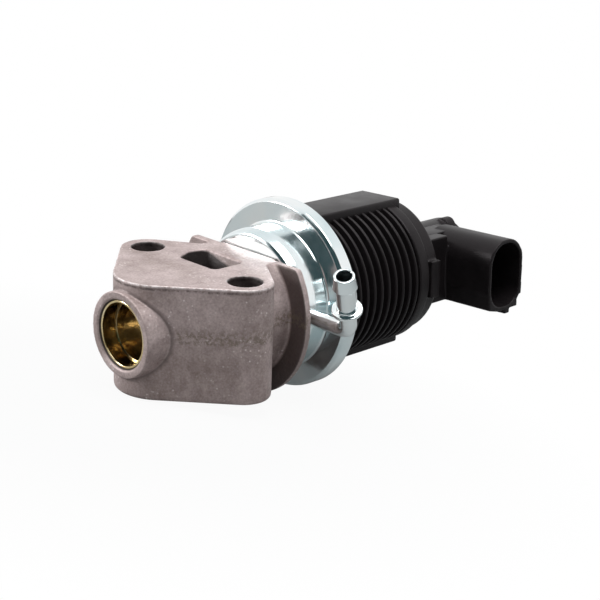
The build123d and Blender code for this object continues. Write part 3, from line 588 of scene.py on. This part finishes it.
# the floor keeps its shadows; its own white thins them, and takes over away from the valve
paper = Recipe("pale paper", specular=0.1)
grain = paper.noise(2, 3.0)
paper.done(paper.ramp(grain, (0.3, (0.32, 0.31, 0.31)), (0.7, (0.36, 0.35, 0.35))), 0.7)
pale = paper.add("ShaderNodeBsdfDiffuse", Color=(0.42, 0.44, 0.44, 1))
glow = paper.add("ShaderNodeEmission", Strength=1.0)
own_white = paper.fade(paper.reach((1, 1, 1)), 50, 120, 0.945, 1.0)
eye = paper.add("ShaderNodeLightPath").outputs["Is Camera Ray"]
bright = paper.add("ShaderNodeMixShader")
paper.feed(bright.inputs[0], paper.product(own_white, paper.range(eye, 0.0, 1.0, 0.12, 1.0)))
paper.feed(bright.inputs[1], pale.outputs[0])
paper.feed(bright.inputs[2], glow.outputs[0])
white_to_the_eye(paper.tree, paper.shader.outputs[0], bright.outputs[0],
                 paper.tree.nodes["Material Output"].inputs["Surface"])
floor.data.materials.append(paper.material)

world = bpy.data.worlds.new("studio")
bpy.context.scene.world = world
world.use_nodes = True
room = world.node_tree.nodes["Background"]
room.inputs["Color"].default_value = (0.95, 0.97, 1.0, 1)
room.inputs["Strength"].default_value = 0.14
backdrop = world.node_tree.nodes.new("ShaderNodeBackground")
backdrop.inputs["Color"].default_value = (1, 1, 1, 1)
backdrop.inputs["Strength"].default_value = 1.0
white_to_the_eye(world.node_tree, room.outputs[0], backdrop.outputs[0],
                 world.node_tree.nodes["World Output"].inputs["Surface"])


def flag(name, azimuths, elevations):
    """Dark studio card, curved about the valve: it shows in gloss only."""
    middle, distance, steps = Vector((0.05, 0, 0)), 0.9, 24
    shade = (0.06, 0.112, 0.122)
    card = bmesh.new()
    rows = []
    for e in elevations:
        row = []
        for k in range(steps + 1):
            a = radians(azimuths[0] + (azimuths[1] - azimuths[0]) * k / steps)
            towards = Vector((cos(radians(e)) * cos(a), cos(radians(e)) * sin(a), sin(radians(e))))
            row.append(card.verts.new(towards * distance + middle))
        rows.append(row)
    for low, high in zip(rows, rows[1:]):
        for k in range(steps):
            card.faces.new((low[k], low[k + 1], high[k + 1], high[k]))
    mesh = mesh_of(card)
    mesh.name = name
    cloth = Recipe(name + " cloth", specular=0.0)
    cloth.done(cloth.ramp(cloth.noise(10), (0.3, shade), (0.7, [v * 1.2 for v in shade])), 0.9)
    mesh.materials.append(cloth.material)
    obj = linked(name, mesh)
    obj.visible_camera = False
    obj.visible_diffuse = False
    obj.visible_shadow = False


flag("front flag", (149, 300), (-2, 10, 20, 34, 46, 58))


# ---------------------------------------------------------------- lights and camera, in metres and watts
def lamp(name, place, target, size, power):
    data = bpy.data.lights.new(name, "AREA")
    data.shape = "RECTANGLE"
    data.size, data.size_y = size
    data.energy = power
    obj = linked(name, data)
    obj.location = place
    obj.rotation_euler = (Vector(target) - obj.location).to_track_quat("-Z", "Y").to_euler()


lamp("key", (0.06, -0.16, 0.77), (0.05, 0, 0), (0.6, 0.6), 6.4)
lamp("fill", (-0.43, 0.464, 0.27), (0.02, 0, 0), (0.2, 0.24), 3.0)

# the photograph's camera, solved from the part's circles
camera_data = bpy.data.cameras.new("camera")
camera_data.lens = 83.94
camera_data.sensor_width = 36.0
camera_data.clip_start = 0.01
camera_right = Vector((0.71655, -0.69665, 0.03512)).normalized()
camera_up = Vector((0.19820, 0.25161, 0.94732)).normalized()
camera_back = camera_right.cross(camera_up)
camera = linked("camera", camera_data)
camera.matrix_world = Matrix.Translation((-0.19235, -0.25342, 0.11635)) @ Matrix(
    (camera_right, camera_up, camera_back)).transposed().to_4x4()

scene = bpy.context.scene
scene.camera = camera
scene.view_settings.view_transform = "Standard"
